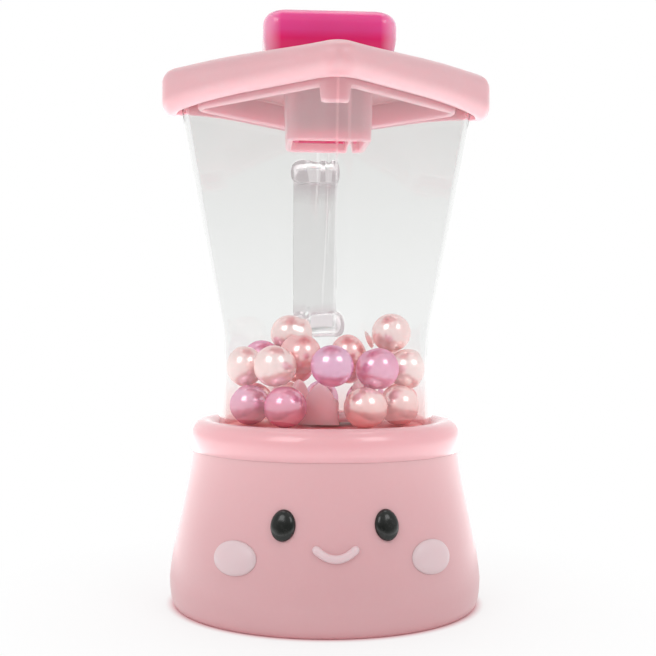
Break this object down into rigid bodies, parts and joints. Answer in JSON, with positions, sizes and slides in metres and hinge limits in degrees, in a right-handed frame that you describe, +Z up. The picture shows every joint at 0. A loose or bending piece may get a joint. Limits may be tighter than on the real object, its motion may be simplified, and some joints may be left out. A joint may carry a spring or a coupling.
{
  "type": "toy blender",
  "caption": "Toy blender: round battery base with a simple face, clear handled jar of pearl beads over a blade rotor, square lid and filler cap.",
  "frame": {"origin": "on the floor at the axis of the round base, in the middle of the flat bottom cover", "axes": "+Z up, -Y towards the front with the face, +Y towards the handle"},
  "size_m": [0.0834, 0.0903, 0.147],
  "materials": {
    "base_plastic": "satin pink moulding",
    "ring_plastic": "glossy pale rose moulding",
    "lid_plastic": "glossy pale pink moulding",
    "cap_plastic": "translucent magenta, polished",
    "blade_plastic": "satin rose moulding",
    "clear_plastic": "clear polished plastic",
    "black_plastic": "glossy black",
    "cream_plastic": "pale pink, glossy",
    "white_plastic": "natural white moulding",
    "dark_plastic": "dark grey moulding",
    "cell_wrap": "plain green wrap",
    "steel": "plain steel",
    "brass": "plain brass",
    "red_lead": "insulated lead",
    "black_lead": "insulated lead",
    "pearl_pale": "pale pink pearl",
    "pearl_rose": "rose pearl",
    "pearl_lilac": "lilac pearl",
    "pearl_magenta": "magenta pearl"
  },
  "bodies": {
    "base": {"base_shell": "base_plastic", "rim_ring": "ring_plastic", "bottom_cover": "base_plastic", "cover_screw_1": "steel", "cover_screw_2": "steel", "cover_screw_3": "steel", "left_eye": "black_plastic", "right_eye": "black_plastic", "left_cheek": "cream_plastic", "right_cheek": "cream_plastic", "smile": "cream_plastic", "motor_can": "steel", "motor_mount": "white_plastic", "battery_box": "dark_plastic", "lower_cell": "cell_wrap", "upper_cell": "cell_wrap", "bridge_contact": "brass", "plus_terminal": "brass", "minus_terminal": "brass", "lower_cell_spring": "steel", "upper_cell_spring": "steel", "battery_door": "base_plastic", "door_screw": "steel", "switch_body": "dark_plastic", "plus_lead": "red_lead", "switch_lead": "red_lead", "minus_lead": "black_lead"},
    "drive": {"motor_shaft": "steel", "drive_dog": "dark_plastic"},
    "switch": {"switch_slider": "dark_plastic"},
    "jar": {"jar": "clear_plastic", "jar_floor": "ring_plastic", "floor_bush": "brass", "bead_1": "pearl_magenta", "bead_2": "pearl_lilac", "bead_3": "pearl_rose", "bead_4": "pearl_pale", "bead_5": "pearl_lilac", "bead_6": "pearl_pale", "bead_7": "pearl_pale", "bead_8": "pearl_rose", "bead_9": "pearl_magenta", "bead_10": "pearl_pale", "bead_11": "pearl_pale", "bead_12": "pearl_lilac", "bead_13": "pearl_magenta", "bead_14": "pearl_pale", "bead_15": "pearl_rose", "bead_16": "pearl_pale", "bead_17": "pearl_rose", "bead_18": "pearl_magenta", "bead_19": "pearl_pale", "bead_20": "pearl_pale", "bead_21": "pearl_rose", "bead_22": "pearl_rose"},
    "rotor": {"rotor_shaft": "steel", "driven_dog": "dark_plastic", "blade_rotor": "blade_plastic"},
    "lid": {"lid": "lid_plastic"},
    "cap": {"filler_cap": "cap_plastic"}
  },
  "joints": [
    {"name": "jar_lift", "type": "slide", "parent": "base", "child": "jar", "axis": [0, 0, 1], "range_m": [0, 0.02]},
    {"name": "lid_lift", "type": "slide", "parent": "jar", "child": "lid", "axis": [0, 0, 1], "range_m": [0, 0.02]},
    {"name": "cap_lift", "type": "slide", "parent": "lid", "child": "cap", "axis": [0, 0, 1], "range_m": [0, 0.02]},
    {"name": "rotor_spin", "type": "hinge", "parent": "jar", "child": "rotor", "pos_m": [0, 0, 0.045], "axis": [0, 0, 1], "continuous": true},
    {"name": "drive_spin", "type": "hinge", "parent": "base", "child": "drive", "pos_m": [0, 0, 0.034], "axis": [0, 0, 1], "continuous": true},
    {"name": "switch_slide", "type": "slide", "parent": "base", "child": "switch", "axis": [1, 0, 0], "range_m": [0, 0.004]}
  ],
  "couplings": [
    {"joint": "drive_spin", "follows": "rotor_spin", "ratio": 1}
  ]
}
